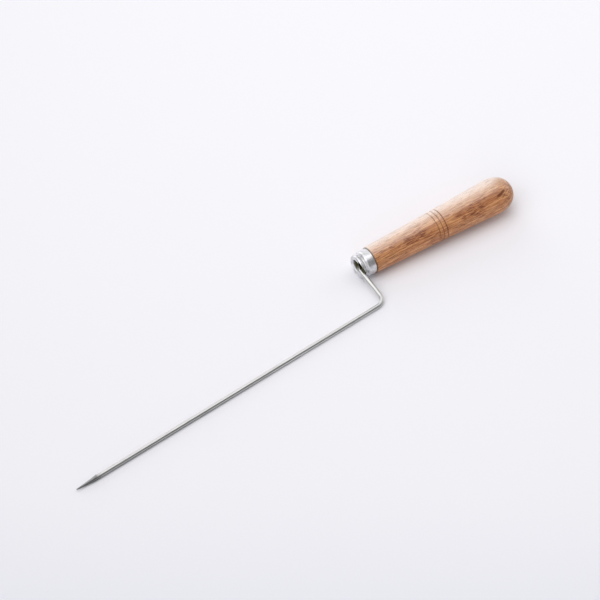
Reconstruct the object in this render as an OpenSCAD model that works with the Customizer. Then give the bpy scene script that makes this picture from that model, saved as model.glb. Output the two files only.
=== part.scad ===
// Cranked kebab skewer: one bent steel wire with a barbed point, its tang driven into a turned
// wooden handle, with a pressed steel ferrule on the front of the wood.
// Lengths are in millimetres. The skewer lies on the plane z = 0 as it rests on a table, with the
// butt of the handle towards +X, the point towards -X and the crank stepping out towards -Y.

/* [Handle] */
// Length from the front of the ferrule's lip to the end of the butt
handle_len = 125.2; // [115:0.2:160]
// Diameter at the widest place, where the rounded butt begins
butt_d = 25; // [22:0.5:30]
// Length of the rounded butt
dome_len = 16; // [12:1:24]
// How full the rounded butt is, where 2 is an ellipse
dome_full = 2.3; // [2:0.1:3]
// How far the wood stands out past the ferrule
wood_ledge = 0.55; // [0.3:0.05:1]
// How far the side of the handle dips below a straight taper
waist = 0.25; // [0:0.05:0.6]
// Rounding of the wood's front edge
edge_r = 0.5; // [0.2:0.05:0.8]

/* [Grooves] */
// Distance from the front of the lip to the first turned groove
groove_at = 61.1; // [40:0.1:75]
// Distance from one groove to the next
groove_gap = 3; // [2:0.1:5]
// Number of turned grooves
groove_count = 3; // [1:1:5]
// Radius of the tool that cuts a groove, which is also its depth
groove_r = 0.45; // [0.3:0.05:0.8]

/* [Ferrule] */
// Outer diameter of the ferrule where it grips the wood
ferrule_d = 17.6; // [17:0.1:18.6]
// Length of the ferrule
ferrule_len = 10.7; // [10:0.1:16]
// Thickness of the steel sheet
sheet = 0.6; // [0.4:0.05:0.8]
// Outer diameter of the rolled lip
lip_d = 16.4; // [16:0.1:17.2]
// Thickness of the rolled lip
bead_d = 3.2; // [2.4:0.1:3.4]
// Outside radius of the shoulder between the grip and the throat
shoulder_r = 1.6; // [1.2:0.1:2]
// Angle through which the shoulder turns in
shoulder_turn = 65; // [55:1:70]
// Radius of the hollow behind the lip
throat_r = 1; // [0.8:0.1:1.2]
// How far the notch in the lip is cut back
notch_len = 3.6; // [3.2:0.1:4.4]
// Angle between the notch's upper wall, which leans back, and the handle's line
notch_splay = 68; // [45:1:75]

/* [Punch marks] */
// Number of punch marks that lock the ferrule to the wood
punch_count = 2; // [2:1:6]
// Radius of the punch's round tip
punch_r = 1.1; // [0.8:0.1:1.4]
// Depth of a punch mark
punch_depth = 0.5; // [0.3:0.05:0.6]
// Distance from the ferrule's rear edge to the punch marks
punch_inset = 1.9; // [1.7:0.1:3]
// Angle of the first punch mark from the top, towards the crank's side
punch_turn = 124; // [90:1:150]

/* [Wire] */
// Diameter of the wire
wire_d = 3; // [2.6:0.1:3.4]
// How far behind the front of the lip the wire turns out of the handle's line
mouth_in = 0.7; // [0.4:0.1:1]
// Radius of the bend in the ferrule's mouth, at the middle of the wire
mouth_bend_r = 3.3; // [2.8:0.1:4]
// Radius of the elbow, at the middle of the wire
elbow_bend_r = 6.6; // [4:0.2:10]
// Length of the tang inside the wood
tang_len = 60; // [40:1:80]
// Length of the tang's driven point
tang_point_len = 4; // [2:0.5:8]
// Distance from the handle's line to the shank, measured along the crank
crank_len = 30; // [20:0.5:45]
// Angle by which the crank and the shank are turned from square to the handle
crank_skew = 5; // [0:0.1:8]
// Length from the elbow's corner to the point
shank_len = 247; // [150:1:400]

/* [Point] */
// Length of the tapered point
point_len = 13.5; // [8:0.5:20]
// Diameter at the very end of the point
point_d = 0.6; // [0.4:0.1:1]
// Distance from the end of the point to the back of the barb
barb_back = 15.5; // [10:0.5:22]
// How far the barb stands out past the wire
barb_rise = 0.8; // [0.5:0.1:2.5]
// How far the back of the barb is cut under
barb_hook = 1.3; // [0.5:0.1:2]
// Length of the barb from its root to its back
barb_len = 3.5; // [2.5:0.5:6]
// Thickness of the barb
barb_thick = 1.8; // [1:0.1:2.2]
// Angle of the barb above the table, on the side that faces the handle's line
barb_angle = 80; // [0:1:90]
// How deep the chisel went into the wire when it raised the barb
barb_cut = 0.7; // [0.3:0.05:0.9]
// How far the chisel's cut runs out behind the barb
cut_run = 2.5; // [1:0.5:5]

/* [Fits] */
// Gap round the tang in its hole
tang_gap = 0.05; // [0.02:0.01:0.15]
// Gap between the ferrule and the wood inside it
ferrule_gap = 0.05; // [0.02:0.01:0.15]
// Gap between the wire and each side of the notch
notch_gap = 0.3; // [0.2:0.05:0.6]
// Depth of the hole past the end of the tang
hole_spare = 1; // [0.5:0.5:3]

/* [Hidden] */
$fn = 64;

wire_r = wire_d / 2;
butt_r = butt_d / 2;
grip_r = ferrule_d / 2;
bead_r = bead_d / 2;
front_r = grip_r + wood_ledge;
dome_x = handle_len - dome_len;
front_x = ferrule_len + edge_r;

// The handle rests on the front of its wood and on the start of its butt, so its line leans a little
handle_lean = atan((butt_r - front_r) / (dome_x - front_x));
lip_z = front_r * cos(handle_lean) - front_x * sin(handle_lean);

// Throat and shoulder of the ferrule: arcs that meet, as [distance from the lip's front, radius]
bead_c = [bead_r, lip_d / 2 - bead_r];
throat_y = grip_r - shoulder_r + (shoulder_r + throat_r) * cos(shoulder_turn);
throat_turn = asin((throat_y - bead_c[1]) / (bead_r + throat_r));
throat_c = [bead_r + (bead_r + throat_r) * cos(throat_turn), throat_y];
shoulder_c = [throat_c[0] + (shoulder_r + throat_r) * sin(shoulder_turn), grip_r - shoulder_r];

// The turned spigot of the handle fills the straight part of the ferrule
spigot_r = grip_r - sheet - ferrule_gap;
spigot_x = shoulder_c[0] + ferrule_gap;
hole_end = spigot_x + tang_len + hole_spare;
// Chamfer of the spigot's front edge
spigot_edge = 0.4;
// How far a cut runs past the surface that it opens
cut_past = 1;

// The straight stretches of the wire run this far into the bends, which are thicker by the swell
bend_lap = 0.3;
bend_swell = 0.04;

// Corners of the wire's middle line: the mouth, the elbow and the point
tang_way = [-cos(handle_lean), 0, -sin(handle_lean)];
crank_side = [sin(crank_skew), -cos(crank_skew), 0];
shank_way = [-cos(crank_skew), -sin(crank_skew), 0];
lip_front = [0, 0, lip_z];
mouth = lip_front - mouth_in * tang_way;
elbow = [mouth[0], 0, wire_r + bend_swell] + crank_len * crank_side;
tip = elbow + shank_len * shank_way;
crank_way = unit(elbow - mouth);

// The crank's direction seen from the front of the handle
crank_in_handle = [
    crank_way[0] * cos(handle_lean) + crank_way[2] * sin(handle_lean),
    crank_way[1],
    crank_way[2] * cos(handle_lean) - crank_way[0] * sin(handle_lean)
];
notch_turn = atan2(-crank_in_handle[2], -crank_in_handle[1]);
notch_w = wire_d + 2 * notch_gap;

// Root and crest of the barb, as [distance from the point, height over the wire's middle]. The
// root starts a little under the surface
barb_sink = 0.2;
barb_front = barb_back - barb_len;
cone_r = point_d / 2 + (wire_r - point_d / 2) * barb_front / point_len;
barb_root = [barb_front, min(wire_r, cone_r) - barb_sink];
barb_crest = [barb_back, wire_r + barb_rise];
// Bottom of the chisel's cut under the barb
cut_end = [barb_back - barb_hook, wire_r - barb_cut];

// The origin is under the middle of the whole skewer
far_x = handle_len * cos(handle_lean);
near_y = tip[1] + point_len * sin(crank_skew) - wire_r * cos(crank_skew);
middle = [(tip[0] + far_x) / 2, (near_y + butt_r) / 2, 0];

function unit(v) = v / norm(v);
function arc(c, r, from, to, steps) = [
    for (i = [0:steps]) c + r * [cos(from + (to - from) * i / steps), sin(from + (to - from) * i / steps)]
];
function side_r(x) =
    let (t = (x - front_x) / (dome_x - front_x))
    front_r + (butt_r - front_r) * t - waist * sin(180 * t);
function dome_point(a) =
    let (bend = 2 / dome_full)
    [dome_x + dome_len * pow(sin(a), bend), butt_r * pow(cos(a), bend)];

// Puts what follows in the place where the skewer lies
module lying() {
    translate(-middle) children();
}

// Puts what is made along X, from the front of the lip, on the handle's line
module on_handle() {
    lying() translate(lip_front) rotate([0, -handle_lean, 0]) children();
}

// Turns a profile of [distance along the handle, radius] round the handle's line
module turned(profile) {
    rotate([0, 90, 0]) rotate_extrude(convexity = 6) polygon([for (p = profile) [p[1], p[0]]]);
}

// A ring round the handle's line, as deep and as wide as a round tool
module ring(x, ring_r, tool_r) {
    translate([x, 0, 0]) rotate([0, 90, 0]) rotate_extrude() translate([ring_r, 0]) circle(r = tool_r);
}

// The marks of a round punch, or the bumps behind them
module punches(r) {
    for (i = [0:punch_count - 1])
        rotate([punch_turn + 360 * i / punch_count, 0, 0])
            translate([ferrule_len - punch_inset, 0, grip_r + punch_r - punch_depth])
                sphere(r = r);
}

// One piece of turned beech: spigot, tapered grip with its grooves, and a rounded butt
module handle() {
    edge_steps = 4;
    side_steps = 12;
    dome_steps = 16;
    profile = concat(
        [[spigot_x, 0], [spigot_x, spigot_r - spigot_edge], [spigot_x + spigot_edge, spigot_r]],
        [[ferrule_len, spigot_r]],
        arc([front_x, front_r - edge_r], edge_r, 180, 90, edge_steps),
        [for (i = [1:side_steps]) let (x = front_x + (dome_x - front_x) * i / side_steps) [x, side_r(x)]],
        [for (i = [1:dome_steps]) dome_point(90 * i / dome_steps)]
    );
    color("burlywood") on_handle() difference() {
        turned(profile);
        translate([spigot_x - cut_past, 0, 0]) rotate([0, 90, 0])
            cylinder(r = wire_r + tang_gap, h = hole_end - spigot_x + cut_past);
        for (i = [0:groove_count - 1])
            ring(groove_at + i * groove_gap, side_r(groove_at + i * groove_gap), groove_r);
        intersection() {
            punches(punch_r + sheet + ferrule_gap);
            rotate([0, 90, 0]) cylinder(r = spigot_r + ferrule_gap / 2, h = ferrule_len);
        }
    }
}

// The pressed ferrule: straight grip, shoulder, throat and rolled lip, with a notch for the crank
module ferrule() {
    turn_in = 90 + shoulder_turn;
    turn_out = 180 + throat_turn;
    seam_turn = 8;
    steps = 8;
    wall = concat(
        [[ferrule_len, grip_r - sheet], [ferrule_len, grip_r]],
        arc(shoulder_c, shoulder_r, 90, turn_in, steps),
        arc(throat_c, throat_r, turn_in + 180, turn_out + seam_turn, 2 * steps),
        [bead_c],
        arc(throat_c, throat_r + sheet, turn_out, turn_in + 180, 2 * steps),
        arc(shoulder_c, shoulder_r - sheet, turn_in, 90, steps)
    );
    color("lightsteelblue") on_handle() difference() {
        union() {
            turned(wall);
            ring(bead_c[0], bead_c[1], bead_r);
            intersection() {
                punches(punch_r + sheet);
                rotate([0, 90, 0]) cylinder(r = grip_r - sheet / 2, h = ferrule_len);
            }
        }
        punches(punch_r);
        rotate([notch_turn, 0, 0]) notch();
    }
}

// A slot from the front of the lip, out through the side that the crank leaves by. Its end is round,
// and its upper wall leans back, so that the bend can be swung in past the lip
module notch() {
    reach = grip_r + cut_past;
    straight = notch_len - notch_w / 2;
    corner = [straight + sin(notch_splay) * notch_w / 2, cos(notch_splay) * notch_w / 2];
    wall_top = corner[1] + (corner[0] + cut_past) * tan(notch_splay);
    translate([straight, 0, 0]) rotate([90, 0, 0]) cylinder(d = notch_w, h = reach);
    translate([-cut_past, -reach, -notch_w / 2]) cube([straight + cut_past, reach, notch_w]);
    rotate([90, 0, 0]) linear_extrude(reach)
        polygon([[-cut_past, 0], [straight, 0], corner, [-cut_past, wall_top]]);
}

// A bend of the wire at a corner, from direction a to direction b. It is a hair thicker than the
// straight wire, which runs a little way into both of its ends
module bend(corner, a, b, bend_r) {
    turn = acos(a * b);
    across = unit(cross(a, b));
    inward = unit(b - (a * b) * a);
    tilt = acos(across[2]);
    swing = atan2(across[1], across[0]);
    first = [cos(tilt) * cos(swing), cos(tilt) * sin(swing), -sin(tilt)];
    second = [-sin(swing), cos(swing), 0];
    translate(corner - bend_r * tan(turn / 2) * a + bend_r * inward)
        rotate([0, tilt, swing])
            rotate([0, 0, atan2(-inward * second, -inward * first)])
                rotate_extrude(angle = turn) translate([bend_r, 0]) circle(r = wire_r + bend_swell);
}

// Distance from a corner to where its bend begins
function bend_reach(a, b, bend_r) = bend_r * tan(acos(a * b) / 2);

// The one wire: tang, bend in the mouth, crank, elbow, shank and barbed point
module skewer_rod() {
    mouth_reach = bend_reach(tang_way, crank_way, mouth_bend_r) - bend_lap;
    elbow_reach = bend_reach(crank_way, shank_way, elbow_bend_r) - bend_lap;
    crank_start = mouth + mouth_reach * crank_way;
    color("silver") union() {
        on_handle() tang(mouth_in + mouth_reach);
        lying() {
            bend(mouth, tang_way, crank_way, mouth_bend_r);
            translate(crank_start) rotate([0, acos(crank_way[2]), atan2(crank_way[1], crank_way[0])])
                cylinder(r = wire_r, h = norm(elbow - mouth) - mouth_reach - elbow_reach);
            bend(elbow, crank_way, shank_way, elbow_bend_r);
            translate(tip) rotate([0, 0, crank_skew]) shank(shank_len - elbow_reach);
        }
    }
}

// The stretch in the wood, made along X, with the blunt point that it is driven in by
module tang(start) {
    tang_end = spigot_x + tang_len;
    turned([
        [start, 0],
        [start, wire_r],
        [tang_end - tang_point_len, wire_r],
        [tang_end, wire_r / 2],
        [tang_end, 0]
    ]);
}

// The stretch that holds the meat, made along X from the very tip, with the barb on top
module shank(end) {
    rotate([barb_angle - 90, 0, 0]) {
        difference() {
            turned([[0, 0], [0, point_d / 2], [point_len, wire_r], [end, wire_r], [end, 0]]);
            upright(wire_d + 2 * cut_past)
                polygon([cut_end, [barb_back + cut_run, wire_r], cut_end + 1.5 * (barb_crest - cut_end)]);
        }
        upright(barb_thick) polygon([[barb_front, 0], barb_root, barb_crest, cut_end, [cut_end[0], 0]]);
    }
}

// Stands an outline of [distance from the point, height] up along the wire
module upright(thick) {
    rotate([90, 0, 0]) linear_extrude(thick, center = true) children();
}

handle();
ferrule();
skewer_rod();
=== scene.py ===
# %% [markdown]
# # A cranked kebab skewer in three pieces
# The real skewer is one bent steel wire with a barbed point, a turned beech handle and a small
# pressed ferrule that ties the two together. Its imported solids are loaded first, as a fixed frame
# that says where everything is. They could be kept and only painted, but close up a plain ring and
# a plain block of wood look like drawings. So all three are modelled again on the same middle lines,
# with the details that the eye expects: a rolled lip, softened grooves, a ground point.

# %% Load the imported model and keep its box
from math import acos, asin, atan, atan2, cos, degrees, hypot, pi, radians, sin, sqrt, tan

import bmesh
import bpy
from mathutils import Matrix, Vector


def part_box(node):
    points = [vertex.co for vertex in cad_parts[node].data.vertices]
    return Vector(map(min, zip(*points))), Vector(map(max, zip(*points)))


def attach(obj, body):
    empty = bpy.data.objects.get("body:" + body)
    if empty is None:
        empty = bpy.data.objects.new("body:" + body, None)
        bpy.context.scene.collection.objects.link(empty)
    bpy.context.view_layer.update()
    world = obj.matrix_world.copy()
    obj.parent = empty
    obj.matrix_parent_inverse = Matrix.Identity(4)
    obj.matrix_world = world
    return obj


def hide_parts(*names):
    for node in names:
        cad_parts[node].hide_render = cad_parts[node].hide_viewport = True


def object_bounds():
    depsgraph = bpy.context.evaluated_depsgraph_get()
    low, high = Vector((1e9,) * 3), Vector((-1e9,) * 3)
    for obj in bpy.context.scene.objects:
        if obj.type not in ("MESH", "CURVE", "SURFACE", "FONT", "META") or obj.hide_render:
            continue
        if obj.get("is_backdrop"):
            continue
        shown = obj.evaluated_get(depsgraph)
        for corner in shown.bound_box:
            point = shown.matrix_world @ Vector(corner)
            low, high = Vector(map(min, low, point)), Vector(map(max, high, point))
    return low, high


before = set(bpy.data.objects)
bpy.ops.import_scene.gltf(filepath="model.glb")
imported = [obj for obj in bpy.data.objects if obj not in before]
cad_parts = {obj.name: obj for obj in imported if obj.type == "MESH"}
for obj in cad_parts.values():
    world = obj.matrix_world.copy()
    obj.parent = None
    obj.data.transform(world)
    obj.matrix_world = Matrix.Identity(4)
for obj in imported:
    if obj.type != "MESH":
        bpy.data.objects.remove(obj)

CAD_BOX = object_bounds()
print("nodes", sorted(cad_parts))

# %% [markdown]
# ## The driving sizes
# A maker's drawing of this skewer would carry only a few numbers, and the rest follows from them.
# They are the sizes of the real object in millimetres, multiplied once, because Blender counts in
# metres. Where the pieces lie is read from the frame and isn't typed in again.

# %% Sizes of the handle
MM = 0.001
HANDLE_LEN = 125.2 * MM
BUTT_R = 12.5 * MM
DOME_LEN = 16 * MM
DOME_FULL = 2.3
WOOD_LEDGE = 0.55 * MM
WAIST = 0.25 * MM
EDGE_R = 0.5 * MM
GROOVE_AT = 61.1 * MM
GROOVE_GAP = 3 * MM
GROOVE_COUNT = 3
GROOVE_R = 0.45 * MM

# %% Sizes of the ferrule
GRIP_R = 8.8 * MM
FERRULE_LEN = 10.7 * MM
SHEET = 0.6 * MM
LIP_R = 8.2 * MM
BEAD_R = 1.6 * MM
SHOULDER_R = 1.6 * MM
SHOULDER_TURN = 65
THROAT_R = 1 * MM
NOTCH_LEN = 3.6 * MM
NOTCH_SPLAY = radians(68)
NOTCH_GAP = 0.3 * MM
PUNCH_COUNT = 2
PUNCH_DEPTH = 0.5 * MM
PUNCH_INSET = 1.9 * MM
PUNCH_TURN = radians(124)

# %% Sizes of the wire
WIRE_R = 1.5 * MM
MOUTH_IN = 0.7 * MM
MOUTH_BEND_R = 3.3 * MM
ELBOW_BEND_R = 6.6 * MM
TANG_LEN = 60 * MM
TANG_POINT_LEN = 4 * MM
CRANK_LEN = 30 * MM
CRANK_SKEW = radians(5)
SHANK_LEN = 247 * MM
SHANK_Z = 1.54 * MM
POINT_LEN = 13.5 * MM
POINT_R = 0.3 * MM
BARB_BACK = 15.5 * MM
BARB_LEN = 3.5 * MM
BARB_RISE = 0.8 * MM
BARB_HOOK = 1.3 * MM
BARB_THICK = 1.8 * MM
BARB_SINK = 0.2 * MM
BARB_ANGLE = radians(80)
BARB_CUT = 0.7 * MM
CUT_RUN = 2.5 * MM
FIT_GAP = 0.05 * MM

# %% Places that follow from the sizes and the frame
FRONT_R = GRIP_R + WOOD_LEDGE
DOME_X = HANDLE_LEN - DOME_LEN
FRONT_X = FERRULE_LEN + EDGE_R
LEAN = atan((BUTT_R - FRONT_R) / (DOME_X - FRONT_X))
wood_low, wood_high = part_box("handle")
LIP_FRONT = Vector((
    wood_high.x - HANDLE_LEN * cos(LEAN),
    (wood_low.y + wood_high.y) / 2,
    FRONT_R * cos(LEAN) - FRONT_X * sin(LEAN),
))
HANDLE_PLACE = Matrix.Translation(LIP_FRONT) @ Matrix.Rotation(-LEAN, 4, "Y")
TANG_WAY = Vector((-cos(LEAN), 0, -sin(LEAN)))
SHANK_WAY = Vector((-cos(CRANK_SKEW), -sin(CRANK_SKEW), 0))
MOUTH = LIP_FRONT - MOUTH_IN * TANG_WAY
ELBOW = Vector((MOUTH.x, MOUTH.y, SHANK_Z)) + CRANK_LEN * Vector((sin(CRANK_SKEW), -cos(CRANK_SKEW), 0))
TIP = ELBOW + SHANK_LEN * SHANK_WAY
CRANK_WAY = (ELBOW - MOUTH).normalized()
print("lip", [round(v / MM, 2) for v in LIP_FRONT], "point", [round(v / MM, 2) for v in TIP], "in mm")

# %% [markdown]
# ## The camera
# The photograph looks down at about fifty degrees from a long way off, through a long lens. These
# five numbers were found by matching the point, the elbow, the lip and the butt in the picture.
# Setting the camera first means that every later choice can be judged in its frame.

# %% A camera at the photograph's viewing angle
CAMERA_RISE = radians(50.473)
CAMERA_TURN = radians(32.796)
CAMERA_DISTANCE = 1.652468
LOOK_AT = Vector((0.016214, 0.0225205, 0))
LENS, SENSOR = 150, 36

forward = Vector((
    sin(CAMERA_TURN) * cos(CAMERA_RISE),
    cos(CAMERA_TURN) * cos(CAMERA_RISE),
    -sin(CAMERA_RISE),
))
camera = bpy.data.objects.new("camera", bpy.data.cameras.new("camera"))
camera.data.lens, camera.data.sensor_width = LENS, SENSOR
camera.location = LOOK_AT - CAMERA_DISTANCE * forward
camera.rotation_euler = forward.to_track_quat("-Z", "Y").to_euler()
bpy.context.scene.collection.objects.link(camera)
bpy.context.scene.camera = camera
print("camera at", [round(v, 3) for v in camera.location])

# %% [markdown]
# ## Helpers for meshes
# Every piece starts as an outline or a circle that Blender's own operators spin or extrude. One
# helper turns a finished bmesh into an object at the origin, with its place in its vertices, as the
# frame's own nodes have it. Edges that really are corners are marked sharp, so that smooth shading
# doesn't smear a highlight round them.

# %% Outlines, turning and booleans
SHARP_ANGLE = radians(38)
SAME_POINT = 0.0005 * MM


def arc(centre, radius, start, end, steps):
    """Points of an arc between two angles in degrees, as (along, out) pairs."""
    turns = [radians(start + (end - start) * i / steps) for i in range(steps + 1)]
    return [(centre[0] + radius * cos(a), centre[1] + radius * sin(a)) for a in turns]


def evenly(start, end, steps):
    """The points between two (along, out) pairs, without the first and with the last."""
    return [tuple(Vector(start).lerp(Vector(end), i / steps)) for i in range(1, steps + 1)]


def turn(bm, outline, steps, closed=False):
    """Spins an outline of (along, out) pairs round the X axis, as a lathe does."""
    points = [bm.verts.new((x, 0, r)) for x, r in outline]
    pairs = list(zip(points, points[1:])) + ([(points[-1], points[0])] if closed else [])
    edges = [bm.edges.new(pair) for pair in pairs]
    bmesh.ops.spin(bm, geom=points + edges, cent=(0, 0, 0), axis=(1, 0, 0), dvec=(0, 0, 0),
                   angle=2 * pi, steps=steps, use_merge=True)
    bmesh.ops.remove_doubles(bm, verts=bm.verts, dist=SAME_POINT)
    bmesh.ops.recalc_face_normals(bm, faces=bm.faces)


def upright(outline, thick):
    """Stands an outline of (along, out) pairs up along X and gives it a thickness."""
    bm = bmesh.new()
    face = bm.faces.new([bm.verts.new((x, -thick / 2, z)) for x, z in outline])
    pushed = bmesh.ops.extrude_face_region(bm, geom=[face])["geom"]
    pushed = [g for g in pushed if isinstance(g, bmesh.types.BMVert)]
    bmesh.ops.translate(bm, verts=pushed, vec=(0, thick, 0))
    bmesh.ops.recalc_face_normals(bm, faces=bm.faces)
    return bm


def boolean(bm, other, operation):
    """Cuts or joins another bmesh with Blender's exact boolean, and gives back the result."""
    made = []
    for part in (bm, other):
        made.append(bpy.data.objects.new("part", bpy.data.meshes.new("part")))
        part.to_mesh(made[-1].data)
        part.free()
        bpy.context.scene.collection.objects.link(made[-1])
    cut = made[0].modifiers.new("cut", "BOOLEAN")
    cut.object, cut.operation, cut.solver = made[1], operation, "EXACT"
    result = bmesh.new()
    result.from_object(made[0], bpy.context.evaluated_depsgraph_get())
    for part in made:
        mesh = part.data
        bpy.data.objects.remove(part)
        bpy.data.meshes.remove(mesh)
    bmesh.ops.remove_doubles(result, verts=result.verts, dist=SAME_POINT)
    return result


def finish_piece(bm, name, node):
    """Makes the object that stands for a node of the frame, and says what it holds."""
    for face in bm.faces:
        face.smooth = True
    for edge in bm.edges:
        edge.smooth = len(edge.link_faces) == 2 and edge.calc_face_angle(0) < SHARP_ANGLE
    open_edges = sum(len(edge.link_faces) != 2 for edge in bm.edges)
    mesh = bpy.data.meshes.new(name)
    bm.to_mesh(mesh)
    bm.free()
    piece = bpy.data.objects.new(name, mesh)
    bpy.context.scene.collection.objects.link(piece)
    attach(piece, "root")
    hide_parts(node)
    print(name, len(mesh.polygons), "faces,", open_edges, "open edges")
    return piece


# %% [markdown]
# ## Helpers for finishes
# A finish is a picture computed from a place in space. Wiring dozens of Math nodes by hand hides
# the idea, so a small class wraps one socket: adding to it or multiplying it adds the Math node that
# does so. Every other node comes from one method, which sets the node's own settings first and then
# the values or links of its inputs.

# %% A socket that can be added and multiplied


class Signal:
    """One output of a shader node, or the start of a finish when it has no socket."""

    def __init__(self, tree, socket=None):
        self.tree, self.socket = tree, socket

    def node(self, kind, settings, inputs, output=0):
        new = self.tree.nodes.new(kind)
        for name, value in settings.items():
            setattr(new, name, value)
        for name, value in inputs.items():
            if isinstance(value, Signal):
                self.tree.links.new(value.socket, new.inputs[name])
            else:
                new.inputs[name].default_value = value
        return None if output is None else Signal(self.tree, new.outputs[output])

    def other(self, name):
        """Another output of the same node."""
        return Signal(self.tree, self.socket.node.outputs[name])

    def math(self, operation, *values):
        return self.node("ShaderNodeMath", {"operation": operation}, dict(enumerate(values)))

    def __add__(self, value):
        return self.math("ADD", self, value)

    def __sub__(self, value):
        return self.math("SUBTRACT", self, value)

    def __rsub__(self, value):
        return self.math("SUBTRACT", value, self)

    def __mul__(self, value):
        return self.math("MULTIPLY", self, value)

    def __truediv__(self, value):
        return self.math("DIVIDE", self, value)

    def __pow__(self, value):
        return self.math("POWER", self, value)

    def __abs__(self):
        return self.math("ABSOLUTE", self)

    __radd__, __rmul__ = __add__, __mul__


# %% Colours, masks and patterns


def srgb(red, green, blue):
    """A colour as a screen shows it, 0 to 255, as the linear values that a shader wants."""
    shares = [v / 255 for v in (red, green, blue)]
    return (*[v / 12.92 if v <= 0.04045 else ((v + 0.055) / 1.055) ** 2.4 for v in shares], 1)


def mix(share, first, second):
    """Blends two colours."""
    return share.node("ShaderNodeMix", {"data_type": "RGBA"}, {0: share, 6: first, 7: second}, 2)


def rise(value, low, high):
    """0 below low, 1 above high, and a soft slope between."""
    return value.node("ShaderNodeMapRange", {"interpolation_type": "SMOOTHSTEP"},
                      {"Value": value, "From Min": low, "From Max": high})


def cells(place, size, shift=(0, 0, 0)):
    """The same place counted in cells of this size, for a pattern that is longer one way."""
    return place.node("ShaderNodeMapping", {"vector_type": "TEXTURE"},
                      {"Vector": place, "Location": shift, "Scale": size})


def noise(place, detail=3.0, roughness=0.5):
    """Soft random values from 0 to 1, with one lump to a cell."""
    return place.node("ShaderNodeTexNoise", {},
                      {"Vector": place, "Scale": 1.0, "Detail": detail, "Roughness": roughness}, 0)


def axes(place):
    """The three numbers of a vector."""
    first = place.node("ShaderNodeSeparateXYZ", {}, {"Vector": place})
    return first, first.other("Y"), first.other("Z")


def vector(x, y, z):
    """Three numbers as a vector."""
    return x.node("ShaderNodeCombineXYZ", {}, {0: x, 1: y, 2: z})


def bump(height, depth, under=None):
    """Turns a height from 0 to 1 into small relief that is depth metres deep."""
    inputs = {"Strength": 1.0, "Distance": depth, "Height": height}
    if under:
        inputs["Normal"] = under
    return height.node("ShaderNodeBump", {}, inputs, "Normal")


def in_handle(start):
    """Places in millimetres along and across the handle, counted from the front of the lip."""
    place = start.node("ShaderNodeTexCoord", {}, {}, "Object")
    return start.node("ShaderNodeMapping", {"vector_type": "TEXTURE"},
                      {"Vector": place, "Location": LIP_FRONT, "Rotation": (0, -LEAN, 0),
                       "Scale": (MM, MM, MM)})


def new_finish(name):
    """An empty material and the start of its shader sums."""
    material = bpy.data.materials.new(name)
    material.use_nodes = True
    material.node_tree.nodes.clear()
    return material, Signal(material.node_tree)


def surface(start, inputs):
    """The surface shader that ends a finish."""
    shader = start.node("ShaderNodeBsdfPrincipled", {}, inputs, "BSDF")
    start.node("ShaderNodeOutputMaterial", {}, {"Surface": shader}, None)


# %% [markdown]
# ## The handle
# The handle is turned on a lathe: a spigot for the ferrule, a long taper with a faint waist, three
# fine grooves and a rounded butt. A lathe's work is an outline spun round a line, so that is how it
# is made here too. The tool's corners wear off under sandpaper, so each groove gets small round
# rims; without them a groove this narrow shows as a hard black line from close by.

# %% The outline of the wood
RIM_R = 0.15 * MM
HOLE_R = WIRE_R + FIT_GAP
SPIGOT_R = GRIP_R - SHEET - FIT_GAP
SPIGOT_EDGE = 0.4 * MM
HOLE_SPARE = 1 * MM
WOOD_TURNS, SIDE_GAP, DOME_STEPS = 192, 3 * MM, 28

# Arcs that meet: the lip's bead, the throat behind it and the shoulder, as (along, out)
BEAD_C = (BEAD_R, LIP_R - BEAD_R)
THROAT_OUT = GRIP_R - SHOULDER_R + (SHOULDER_R + THROAT_R) * cos(radians(SHOULDER_TURN))
THROAT_TURN = asin((THROAT_OUT - BEAD_C[1]) / (BEAD_R + THROAT_R))
THROAT_C = (BEAD_R + (BEAD_R + THROAT_R) * cos(THROAT_TURN), THROAT_OUT)
SHOULDER_C = (THROAT_C[0] + (SHOULDER_R + THROAT_R) * sin(radians(SHOULDER_TURN)), GRIP_R - SHOULDER_R)
SPIGOT_X = SHOULDER_C[0] + FIT_GAP
TANG_END = SPIGOT_X + TANG_LEN


def side_out(x):
    """Radius of the handle's side: a straight taper with a faint waist."""
    t = (x - FRONT_X) / (DOME_X - FRONT_X)
    return FRONT_R + (BUTT_R - FRONT_R) * t - WAIST * sin(pi * t)


def dome_point(turned):
    """A point of the butt's full round end, from 0 at its widest to a quarter turn at its end."""
    bend = 2 / DOME_FULL
    return (DOME_X + DOME_LEN * sin(turned) ** bend, BUTT_R * max(cos(turned), 0) ** bend)


def groove(x):
    """A half-round cut whose two rims are rounded off."""
    out = side_out(x)
    rim_away = sqrt((GROOVE_R + RIM_R) ** 2 - RIM_R ** 2)
    rim_turn = degrees(asin(RIM_R / (GROOVE_R + RIM_R)))
    return (arc((x - rim_away, out - RIM_R), RIM_R, 90, rim_turn, 3)
            + arc((x, out), GROOVE_R, 180 + rim_turn, 360 - rim_turn, 8)
            + arc((x + rim_away, out - RIM_R), RIM_R, 180 - rim_turn, 90, 3))


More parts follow.
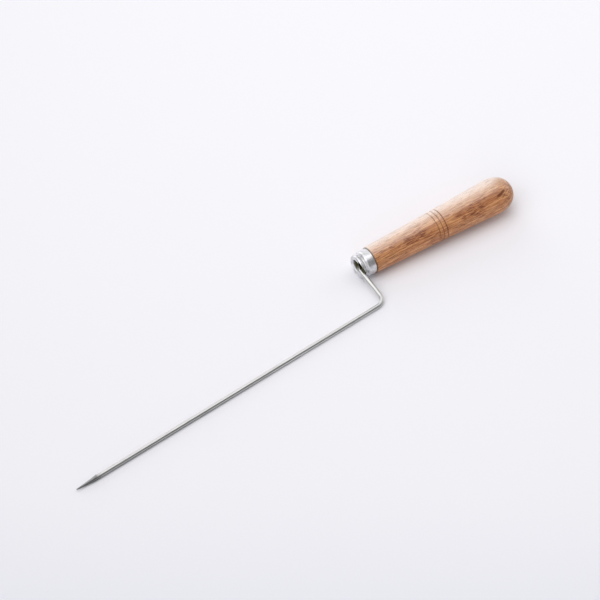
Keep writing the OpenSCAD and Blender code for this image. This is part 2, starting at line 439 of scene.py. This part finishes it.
GROOVES = [GROOVE_AT + GROOVE_GAP * i for i in range(GROOVE_COUNT)]
side = []
side_steps = round((DOME_X - FRONT_X) / SIDE_GAP)
for x in [FRONT_X + (DOME_X - FRONT_X) * i / side_steps for i in range(1, side_steps + 1)]:
    if all(abs(x - g) > 1.2 * MM for g in GROOVES):
        side.append((x, side_out(x)))
for x in GROOVES:
    side += groove(x)
side.sort(key=lambda p: p[0])
spigot_back = (FERRULE_LEN, SPIGOT_R)
wood_outline = [(TANG_END + HOLE_SPARE, 0), (TANG_END + HOLE_SPARE, HOLE_R), (SPIGOT_X, HOLE_R)]
wood_outline += [(SPIGOT_X, SPIGOT_R - SPIGOT_EDGE), (SPIGOT_X + SPIGOT_EDGE, SPIGOT_R)]
wood_outline += evenly(wood_outline[-1], spigot_back, 22)
wood_outline += arc((FRONT_X, FRONT_R - EDGE_R), EDGE_R, 180, 90, 6) + side
wood_outline += [dome_point(pi / 2 * i / DOME_STEPS) for i in range(1, DOME_STEPS + 1)]
print("outline of the wood", len(wood_outline), "points")

# %% [markdown]
# ## The marks that lock the ferrule
# Such a ferrule is often pinned by a few blows of a round punch, which push the sheet into the wood.
# A boolean would leave a knife edge round each mark. Pressed sheet bends softly, so the vertices are
# moved inwards instead, the same way in the sheet and in the wood under it.

# %% Press the punch marks in
PUNCH_REACH = 1.2 * MM


def press(bm, low, high):
    """Moves the points whose distance from the handle's line lies between low and high."""
    for point in bm.verts:
        out, at = hypot(point.co.y, point.co.z), atan2(-point.co.y, point.co.z)
        if not low < out < high:
            continue
        for i in range(PUNCH_COUNT):
            away = (at - PUNCH_TURN - 2 * pi * i / PUNCH_COUNT + pi) % (2 * pi) - pi
            gap = hypot(point.co.x - FERRULE_LEN + PUNCH_INSET, away * out) / PUNCH_REACH
            if gap < 1:
                new_out = out - PUNCH_DEPTH * (1 + cos(pi * gap)) / 2
                point.co.y, point.co.z = point.co.y * new_out / out, point.co.z * new_out / out


# %% Turn the handle
bm = bmesh.new()
turn(bm, wood_outline, WOOD_TURNS)
press(bm, SPIGOT_R - FIT_GAP, SPIGOT_R + FIT_GAP)
bm.transform(HANDLE_PLACE)
handle = finish_piece(bm, "beech_handle", "handle")

# %% [markdown]
# ## The ferrule
# The ferrule is one cup of zinc-coated sheet, six tenths of a millimetre thick. Its front edge is
# rolled outwards into a lip, so that no sharp edge shows, and the lip is cut away where the wire
# comes out, with one wall leaning back so that the bend can be swung in. A solid ring would look the
# same from afar, but the notch cuts through it, and there the real lip shows a curl of sheet round a
# small hollow. So the outline follows the sheet itself: along its outer face, round the inside of
# the curl, and back along its inner face.

# %% The outline of the rolled sheet
SHEET_TURNS, CURL_END, CUT_EDGE = 256, 5, 0.15 * MM
shoulder_end = 90 + SHOULDER_TURN
throat_start = 270 + SHOULDER_TURN
curl_start = 180 + degrees(THROAT_TURN) + degrees(acos((THROAT_R + SHEET - BEAD_R) / (BEAD_R + THROAT_R)))


def face_of_sheet(depth):
    """The grip, shoulder and throat of one face of the sheet, this far under the outer face."""
    grip = evenly((FERRULE_LEN - CUT_EDGE, GRIP_R - depth), (SHOULDER_C[0], GRIP_R - depth), 20)
    return (grip + arc(SHOULDER_C, SHOULDER_R - depth, 90, shoulder_end, 10)[1:]
            + arc(THROAT_C, THROAT_R + depth, throat_start, curl_start, 10)[1:])


rear = arc((FERRULE_LEN - CUT_EDGE, GRIP_R - SHEET + CUT_EDGE), CUT_EDGE, 270, 360, 3)
rear += arc((FERRULE_LEN - CUT_EDGE, GRIP_R - CUT_EDGE), CUT_EDGE, 0, 90, 3)
curl_inside = arc(BEAD_C, BEAD_R - SHEET, curl_start, CURL_END, 20)
curl_outside = arc(BEAD_C, BEAD_R, CURL_END, curl_start, 36)
sheet_outline = rear + face_of_sheet(0) + curl_inside + curl_outside + face_of_sheet(SHEET)[::-1]
print("curl of", round(curl_start - CURL_END), "degrees,", len(sheet_outline), "points round the sheet")

# %% Cut the notch and place the ferrule
crank_in_handle = HANDLE_PLACE.to_3x3().inverted() @ CRANK_WAY
NOTCH_TURN = atan2(-crank_in_handle.z, -crank_in_handle.y)
notch_r = WIRE_R + NOTCH_GAP

bm = bmesh.new()
turn(bm, sheet_outline, SHEET_TURNS, closed=True)
press(bm, GRIP_R - SHEET - FIT_GAP, GRIP_R + FIT_GAP)

round_end = arc((NOTCH_LEN - notch_r, 0), notch_r, -90, 90 - degrees(NOTCH_SPLAY), 18)
wall_top = round_end[-1][1] + (round_end[-1][0] + BEAD_R) * tan(NOTCH_SPLAY)
cutter = upright([(-BEAD_R, -notch_r)] + round_end + [(-BEAD_R, wall_top)], GRIP_R + BEAD_R)
cutter.transform(Matrix.Rotation(NOTCH_TURN, 4, "X") @ Matrix.Translation((0, -(GRIP_R + BEAD_R) / 2, 0)))

bm = boolean(bm, cutter, "DIFFERENCE")
bm.transform(HANDLE_PLACE)
ferrule = finish_piece(bm, "rolled_ferrule", "ferrule")

# %% [markdown]
# ## The wire
# Tang, crank and shank are one length of drawn wire, bent cold over a former. It could be a curve
# with a round bevel, but the finish needs to know where each spot was before the wire was bent:
# drawing leaves fine lines along a wire, and they follow it round the bends. So a circle is extruded
# step by step, moved on the straights and turned in the bends, and each new ring notes how far along
# the wire it is.

# %% Grow the wire from its tang
WIRE_SIDES, STRAIGHT_GAP, BEND_STEP = 40, 6 * MM, radians(5)


class Wire:
    """A tube that grows at its open end."""

    def __init__(self, start, way, radius):
        self.bm = bmesh.new()
        self.straight = self.bm.verts.layers.float_vector.new("straight")
        self.middle, self.way, self.length, self.radius = start, way, 0, radius
        bmesh.ops.create_circle(self.bm, cap_ends=True, segments=WIRE_SIDES, radius=WIRE_R)
        for point in self.bm.verts:
            point[self.straight] = (0, point.co.x, point.co.y)
        self.bm.transform(Matrix.Scale(radius / WIRE_R, 4))
        self.bm.transform(Matrix.Translation(start) @ way.to_track_quat("Z", "Y").to_matrix().to_4x4())
        self.ring = [edge for edge in self.bm.edges if len(edge.link_faces) < 2]

    def grow(self, move, length):
        """Extrudes the open end, moves the new ring and notes how far along the wire it is."""
        made = bmesh.ops.extrude_edge_only(self.bm, edges=self.ring)["geom"]
        points = [g for g in made if isinstance(g, bmesh.types.BMVert)]
        self.ring = [g for g in made if isinstance(g, bmesh.types.BMEdge) and len(g.link_faces) < 2]
        bmesh.ops.transform(self.bm, matrix=move, verts=points)
        self.length += length
        for point in points:
            point[self.straight].x = self.length
        self.middle = move @ self.middle
        self.way = move.to_3x3() @ self.way
        return points

    def run(self, length, radius=None):
        """A straight stretch, which may taper to another radius."""
        steps = max(1, round(length / STRAIGHT_GAP))
        first, last = self.radius, radius or self.radius
        for i in range(steps):
            points = self.grow(Matrix.Translation(self.way * length / steps), length / steps)
            self.widen(points, first + (last - first) * (i + 1) / steps)

    def widen(self, points, radius):
        """Scales the newest ring about its middle."""
        share = radius / self.radius
        bmesh.ops.scale(self.bm, vec=(share, share, share), verts=points,
                        space=Matrix.Translation(-self.middle))
        self.radius = radius

    def bend(self, corner, way, bend_r):
        """A run up to the bend at a corner, and the bend into a new direction."""
        angle = self.way.angle(way)
        reach = bend_r * tan(angle / 2)
        self.run((corner - self.middle).length - reach)
        axis = self.way.cross(way).normalized()
        inward = axis.cross(self.way)
        centre = self.middle + bend_r * inward
        steps = round(angle / BEND_STEP)
        turning = Matrix.Rotation(angle / steps, 4, axis)
        move = Matrix.Translation(centre) @ turning @ Matrix.Translation(-centre)
        for _ in range(steps):
            self.grow(move, bend_r * angle / steps)

    def close(self):
        """Closes the open end."""
        bmesh.ops.holes_fill(self.bm, edges=self.ring)
        bmesh.ops.recalc_face_normals(self.bm, faces=self.bm.faces)


tang_start = LIP_FRONT - TANG_END * TANG_WAY
MOUTH_AT = (TANG_END - MOUTH_IN) / MM
wire = Wire(tang_start, TANG_WAY, WIRE_R / 2)
wire.run(TANG_POINT_LEN, WIRE_R)
wire.bend(MOUTH, CRANK_WAY, MOUTH_BEND_R)
wire.bend(ELBOW, SHANK_WAY, ELBOW_BEND_R)
wire.run((TIP - wire.middle).length - POINT_LEN)
wire.run(POINT_LEN - POINT_R / 2, POINT_R)
wire.run(POINT_R / 2, POINT_R / 2)
wire.close()
WIRE_LEN = wire.length
miss = (wire.middle - TIP).length
print("wire of", round(WIRE_LEN / MM, 1), "mm ends", round(miss / MM, 4), "mm from the point")

# %% [markdown]
# ## The barb
# Just behind the point, a chisel is driven into the wire from the handle's side, and the chip that it
# raises is left standing as a barb, so that the meat can't slide off the end. So there are two
# shapes: the cut, which runs out behind the barb, is taken out of the wire by a boolean, and the
# chip, a small wedge with softened edges, is joined to it by another. Both follow the same outline.

# %% Cut the wire and raise the barb
CHISEL_WIDE, CREST_WIDE, BARB_EDGE = 2.5 * WIRE_R, 0.6, 0.12 * MM
root = (BARB_BACK - BARB_LEN, POINT_R + (WIRE_R - POINT_R) * (BARB_BACK - BARB_LEN) / POINT_LEN - BARB_SINK)
crest = (BARB_BACK, WIRE_R + BARB_RISE)
cut_end = (BARB_BACK - BARB_HOOK, WIRE_R - BARB_CUT)
past_crest = tuple(Vector(cut_end).lerp(Vector(crest), 1.5))
cut = upright([cut_end, (BARB_BACK + CUT_RUN, WIRE_R), past_crest], CHISEL_WIDE)
barb = upright([(root[0], 0), root, crest, cut_end, (cut_end[0], 0)], BARB_THICK)
bmesh.ops.scale(barb, vec=(1, CREST_WIDE, 1), verts=[v for v in barb.verts if v.co.z > WIRE_R])
bmesh.ops.bevel(barb, geom=list(barb.edges), offset=BARB_EDGE, segments=3, profile=0.5,
                affect="EDGES", material=-1)
for shape in (cut, barb):
    shape.transform(Matrix.Translation(TIP) @ Matrix.Rotation(CRANK_SKEW, 4, "Z")
                    @ Matrix.Rotation(BARB_ANGLE - pi / 2, 4, "X"))

bm = boolean(boolean(wire.bm, cut, "DIFFERENCE"), barb, "UNION")
straight = bm.verts.layers.float_vector["straight"]
to_shank = (SHANK_WAY.to_track_quat("Z", "Y").to_matrix()).inverted()
for point in bm.verts:
    from_tip = to_shank @ (point.co - TIP)
    if abs(from_tip.z) < 2 * BARB_BACK:
        point[straight] = (WIRE_LEN + from_tip.z, from_tip.x, from_tip.y)
rod = finish_piece(bm, "barbed_wire_rod", "skewer_rod")

# %% [markdown]
# ## Beech
# Beech is a pale pinkish brown with two patterns over each other. Growth rings are shells round the
# heart of the trunk, so a turned handle shows them as long bands, and as U shapes where its end is
# rounded. Short dark rays and pores lie along the grain. Both are made as solid patterns in the
# handle's own space and not as a picture wrapped round it, so that they cut through the butt and the
# grooves as they would in real wood.

# %% The beech finish
HEART = (-37, 46)
RING_GAP = 3.1
# The way round to the upper back side, painted paler: partly paler sapwood, partly a painted sheen
SAP_AND_SHEEN_WAY = (0.5, 0.87)
THICKER = (BUTT_R - FRONT_R) / DOME_X
# Where the darker figure lies, along, across and up from the front of the lip, in millimetres
FIGURES, FIGURE_SIZE = ((41, -6, 8), (90, -9, 7)), (14, 4, 4)
EYES, EYE_SIZE = ((109.5, -8.2, 9.2), (112.5, -7.6, 9.6), (115, -6.4, 9.9)), (2.4, 1.1, 1.8)
MOUTH_SHADE_OLIVE = srgb(150, 148, 108)


def distance(place, size, spot):
    """How far a place is from a spot, counted in sizes."""
    return place.node("ShaderNodeVectorMath", {"operation": "LENGTH"}, {0: cells(place, size, spot)}, "Value")


def beech():
    material, start = new_finish("oiled_beech")
    place = in_handle(start)
    along, across, up = axes(place)
    sway = noise(cells(place, (45, 16, 16)), 2) - 0.5
    waver = noise(cells(place, (14, 5, 5), (7, 3, 1)), 2) - 0.5
    from_heart = ((across - HEART[0]) ** 2 + (up - HEART[1]) ** 2) ** 0.5
    ring = (from_heart + along * 0.02 + sway * 5 + waver * 1.2) / RING_GAP
    ring = ring.math("FRACT", ring)
    late = rise(ring, 0.25, 0.93) - rise(ring, 0.93, 1.0)
    streak = noise(cells(place, (16, 0.8, 0.8)), 4, 0.66)
    fine = noise(cells(place, (8, 0.3, 0.3), (3, 5, 2)), 3, 0.6)
    patch = noise(cells(place, (15, 6, 6), (4, 9, 6)), 2)
    dash = noise(cells(place, (5, 0.5, 0.5), (1, 2, 8)), 2, 0.55)
    cloud = noise(cells(place, (30, 9, 9), (9, 1, 4)), 2)
    # How far round towards the side painted paler, from -1 to 1, as the handle grows thicker along its length
    side = (across * SAP_AND_SHEEN_WAY[0] + up * SAP_AND_SHEEN_WAY[1]) / (along * THICKER + FRONT_R / MM)
    sap_and_sheen = rise(side + sway * 0.35, 0.5, 1.0)
    figure = sum(1 - rise(distance(place, FIGURE_SIZE, spot) + waver, 0.4, 1.0) for spot in FIGURES)
    dash = rise(dash + figure * 0.06, 0.53, 0.6) * rise(patch + figure * 0.3, 0.42, 0.6) * (1 - sap_and_sheen * 0.85)
    eyes = sum(1 - rise(distance(place, EYE_SIZE, spot), 0.0, 1.7) for spot in EYES)
    eye = rise(eyes + waver * 0.7, 0.65, 1.05)
    # Nearest the top, a painted highlight
    top_highlight = rise(side, 0.8, 1.0)

    tone = mix(rise(streak, 0.36, 0.64), srgb(232, 174, 120), srgb(180, 112, 66))
    tone = mix(late * 0.4, tone, srgb(160, 92, 52))
    tone = mix(rise(cloud, 0.45, 0.75) * 0.4, tone, srgb(172, 102, 60))
    # Paler towards the upper back side: paler sapwood and a painted sheen over it
    tone = mix(sap_and_sheen * 0.52, tone, srgb(244, 212, 182))
    # A painted highlight along the very top of the handle
    tone = mix(top_highlight * 0.55, tone, srgb(250, 240, 234))
    tone = mix(rise(fine, 0.5, 0.68) * 0.7, tone, srgb(138, 74, 40))
    tone = mix(figure * 0.15, tone, srgb(160, 92, 52))
    tone = mix(dash * 0.85, tone, srgb(120, 56, 28))
    tone = mix(eye * 0.85, tone, srgb(100, 46, 24))
    cut = sum((1 - rise(abs(along - x / MM), 0.12, 0.42)) * strength
              for x, strength in zip(GROOVES, (0.6, 0.65, 1.0)))
    tone = mix(cut * 0.9, tone, srgb(98, 42, 20))
    # A painted shadow in the gap behind the ferrule's back edge, which also darkens the wood under the
    # ferrule
    gap_shade = 1 - rise(along, (FERRULE_LEN + 0.2 * MM) / MM, (FERRULE_LEN + 1.1 * MM) / MM)
    tone = mix(gap_shade * 0.8, tone, srgb(52, 44, 34))
    # Inside the ferrule the wood's face is painted a dull olive grey: painted shade in the mouth
    tone = mix(1 - rise(along, 7.0, 8.0), tone, MOUTH_SHADE_OLIVE)
    rough = 0.4 + streak * 0.16 + dash * 0.1
    relief = bump(1 - dash, 0.03 * MM, bump(streak * 0.6 + fine * 0.4, 0.03 * MM))
    oil = rise(side, 0.0, 0.9) * (1 - cut * 0.6) * (1 - eye)
    surface(start, {"Base Color": tone, "Roughness": rough, "Normal": relief,
                    "Specular IOR Level": 0.5, "Sheen Weight": 0.08, "Sheen Roughness": 0.4,
                    "Coat Weight": oil, "Coat Roughness": 0.36, "Coat IOR": 2.0})
    return material


handle.data.materials.append(beech())
print("beech laid on", handle.name)

# %% [markdown]
# ## Zinc-coated sheet
# Fresh zinc is bright, but a thin bright coat soon goes cloudy. Small patches of it reflect
# differently, spinning leaves faint rings round the ferrule, and handling rubs short scratches into
# it. All of that is in the roughness and the relief much more than in the colour.

# %% The zinc finish


def zinc():
    material, start = new_finish("zinc_coated_sheet")
    place = in_handle(start)
    along, across, up = axes(place)
    out = (across ** 2 + up ** 2) ** 0.5
    cloud = noise(cells(place, (3.2, 3.2, 3.2)), 4, 0.6)
    speck = noise(cells(place, (0.35, 0.35, 0.35), (5, 1, 3)), 3, 0.6)
    spun = noise(vector(along * 9, out * 9, 0.0), 2)
    rub = rise(noise(cells(place, (4, 0.25, 0.25), (2, 6, 1)), 2), 0.6, 0.72)
    tone = mix(rise(cloud, 0.3, 0.7), srgb(240, 239, 243), srgb(202, 203, 205))
    tone = mix(rise(speck, 0.55, 0.8) * 0.4, tone, srgb(120, 122, 118))
    # Inside the mouth the sheet is painted a dull olive and isn't metallic: painted shade, in place of the
    # zinc's own reflections
    inner_shade = rise(along, 1.5, 2.2) * (1 - rise(out, 6.6, 7.1))
    tone = mix(inner_shade, tone, srgb(150, 146, 112))
    rough = 0.31 + cloud * 0.16 + speck * 0.08 + rub * 0.1
    relief = bump(spun, 0.006 * MM, bump(cloud * 0.7 + speck * 0.3, 0.03 * MM))
    surface(start, {"Base Color": tone, "Metallic": 1 - inner_shade, "Roughness": rough, "Normal": relief})
    return material


ferrule.data.materials.append(zinc())
print("zinc laid on", ferrule.name)

# %% [markdown]
# ## Drawn steel wire
# A wire pulled through a die carries fine lines along its whole length. They are read from the
# places that the rings noted while the wire was grown, so they follow it round the bends. The point
# has been ground and has met fire, so it is darker and duller. Its underside is painted darker
# still, and so is the underside of the shank towards the point: that is painted shade.

# %% The steel finish


def steel():
    material, start = new_finish("drawn_steel_wire")
    noted = start.node("ShaderNodeAttribute", {"attribute_name": "straight"}, {}, "Vector")
    place = cells(noted, (MM, MM, MM))
    along, _, _ = axes(place)
    line = noise(cells(place, (40, 0.22, 0.22)), 3, 0.6)
    thin = noise(cells(place, (12, 0.09, 0.09), (3, 1, 2)), 2, 0.6)
    stain = noise(cells(place, (9, 2.2, 2.2), (8, 4, 1)), 4, 0.6)
    pit = rise(noise(cells(place, (0.5, 0.4, 0.4), (1, 7, 3)), 2), 0.66, 0.8)
    _, _, height = axes(cells(start.node("ShaderNodeTexCoord", {}, {}, "Object"), (MM, MM, MM)))
    under = 1 - rise(height, 1.0, 2.3)
    toward_point = rise(along, (WIRE_LEN - SHANK_LEN) / MM, (WIRE_LEN - 40 * MM) / MM)
    # The ground, fire-darkened head; the extra darkness on its underside is painted shade
    head = rise(along, (WIRE_LEN - 20 * MM) / MM, (WIRE_LEN - 14.5 * MM) / MM) * (0.6 + under * 0.4)
    tone = mix(rise(line, 0.3, 0.7), srgb(214, 214, 213), srgb(190, 190, 188))
    tone = mix(rise(stain, 0.5, 0.75) * 0.35, tone, srgb(136, 133, 131))
    tone = mix(pit * 0.5, tone, srgb(92, 86, 80))
    # Darker on the underside towards the point: painted shade
    tone = mix(under * toward_point * 0.9, tone, srgb(80, 78, 80))
    tone = mix(head * 0.9, tone, srgb(56, 54, 58))
    # Darker where the wire bends inside the ferrule's mouth: painted shade
    mouth_shade = rise(along, MOUTH_AT - 9, MOUTH_AT - 3) - rise(along, MOUTH_AT - 1.0, MOUTH_AT + 2.5)
    tone = mix(mouth_shade * 0.9, tone, srgb(78, 75, 56))
    rough = 0.2 + line * 0.14 + stain * 0.1 + head * 0.12
    relief = bump(1 - pit, 0.02 * MM, bump(line * 0.6 + thin * 0.4, 0.012 * MM))
    surface(start, {"Base Color": tone, "Metallic": 1.0, "Roughness": rough, "Normal": relief})
    return material


rod.data.materials.append(steel())
print("steel laid on", rod.name)

# %% [markdown]
# ## The floor and the light
# The photograph was taken on white paper under one big soft lamp overhead, in a pale room. The
# paper is made wide, and far out it gives its own white, so that it never ends in a dark edge in
# other views. The room has a bright wall behind, others on the right and the left, and less light
# in front. That is what draws the pale sheen along the handle's upper edge, keeps the shadow soft
# and leaves the near side of the wire darker; some of that sheen and that darkness is painted into
# the wood and the wire as well, and the paper's colour carries a painted shade towards the front.
# Each bright wall is a soft round patch of the world.

# %% The white paper
PAPER_SIZE, PAPER_NEAR, PAPER_FAR = 8, 0.6, 1.6
FRONT_WAY = (-sin(CAMERA_TURN), -cos(CAMERA_TURN))
DIM_NEAR, DIM_FAR = 0.1, 0.3
PAPER_WHITE, PAPER_DIM = srgb(244, 243, 248), srgb(233, 234, 243)


def paper():
    material, start = new_finish("white_paper")
    place = start.node("ShaderNodeTexCoord", {}, {}, "Object")
    across, deep, _ = axes(place)
    away = rise((across ** 2 + deep ** 2) ** 0.5, PAPER_NEAR, PAPER_FAR)
    # Darker and bluer towards the front: painted shade
    front_shade = rise(across * FRONT_WAY[0] + deep * FRONT_WAY[1], DIM_NEAR, DIM_FAR)
    lit = start.node("ShaderNodeBsdfDiffuse", {}, {"Color": mix(front_shade, PAPER_WHITE, PAPER_DIM)})
    own = start.node("ShaderNodeEmission", {}, {"Color": PAPER_WHITE, "Strength": 1.0})
    both = start.node("ShaderNodeMixShader", {}, {0: away, 1: lit, 2: own})
    start.node("ShaderNodeOutputMaterial", {}, {"Surface": both}, None)
    return material


bm = bmesh.new()
bmesh.ops.create_grid(bm, x_segments=2, y_segments=2, size=PAPER_SIZE / 2)
floor_mesh = bpy.data.meshes.new("paper")
bm.to_mesh(floor_mesh)
bm.free()
floor_mesh.materials.append(paper())
paper_floor = bpy.data.objects.new("paper", floor_mesh)
bpy.context.scene.collection.objects.link(paper_floor)
paper_floor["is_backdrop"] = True

# %% The soft lamp and the pale room
LAMP_PLACE, LAMP_WIDE, LAMP_WHITE = (0.3, 0.3, 1.1), 1.2, 1.4
WALL_EDGE, ROOM_WHITE = 10, 0.12
# Turn from +X and rise over the paper in degrees, and how many times as bright as white paper
WALLS = {"behind": (90, 18, 2.2), "right": (0, 18, 1.4), "left": (180, 50, 2.3), "front": (225, 18, 1.2)}

lamp = bpy.data.objects.new("overhead_lamp", bpy.data.lights.new("overhead_lamp", "AREA"))
lamp.data.shape = "SQUARE"
lamp.data.size = LAMP_WIDE
lamp.data.energy = LAMP_WHITE * pi * LAMP_WIDE ** 2
lamp.location = LAMP_PLACE
lamp.visible_camera = False
bpy.context.scene.collection.objects.link(lamp)

world = bpy.data.worlds.new("pale_room")
world.use_nodes = True
world.node_tree.nodes.clear()
bpy.context.scene.world = world
start = Signal(world.node_tree)
way = start.node("ShaderNodeTexCoord", {}, {}, "Generated")
light = ROOM_WHITE
for turned, risen, white in WALLS.values():
    wall = Vector((cos(radians(turned)), sin(radians(turned)), tan(radians(risen)))).normalized()
    toward = start.node("ShaderNodeVectorMath", {"operation": "DOT_PRODUCT"}, {0: way, 1: wall}, "Value")
    light = toward.math("MAXIMUM", toward, 0.0) ** WALL_EDGE * white + light
glow = start.node("ShaderNodeBackground", {}, {"Color": (1, 1, 1, 1), "Strength": light})
start.node("ShaderNodeOutputWorld", {}, {"Surface": glow}, None)
bpy.context.scene.view_settings.view_transform = "Standard"
print("lamp of", round(lamp.data.energy, 2), "W and", len(WALLS), "bright walls")

# %% Compare the boxes and finish
VISUAL_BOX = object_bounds()
for name, a, b in zip(("low", "high"), CAD_BOX, VISUAL_BOX):
    print(name, "corner differs by", [round(v / MM, 3) for v in b - a], "mm")
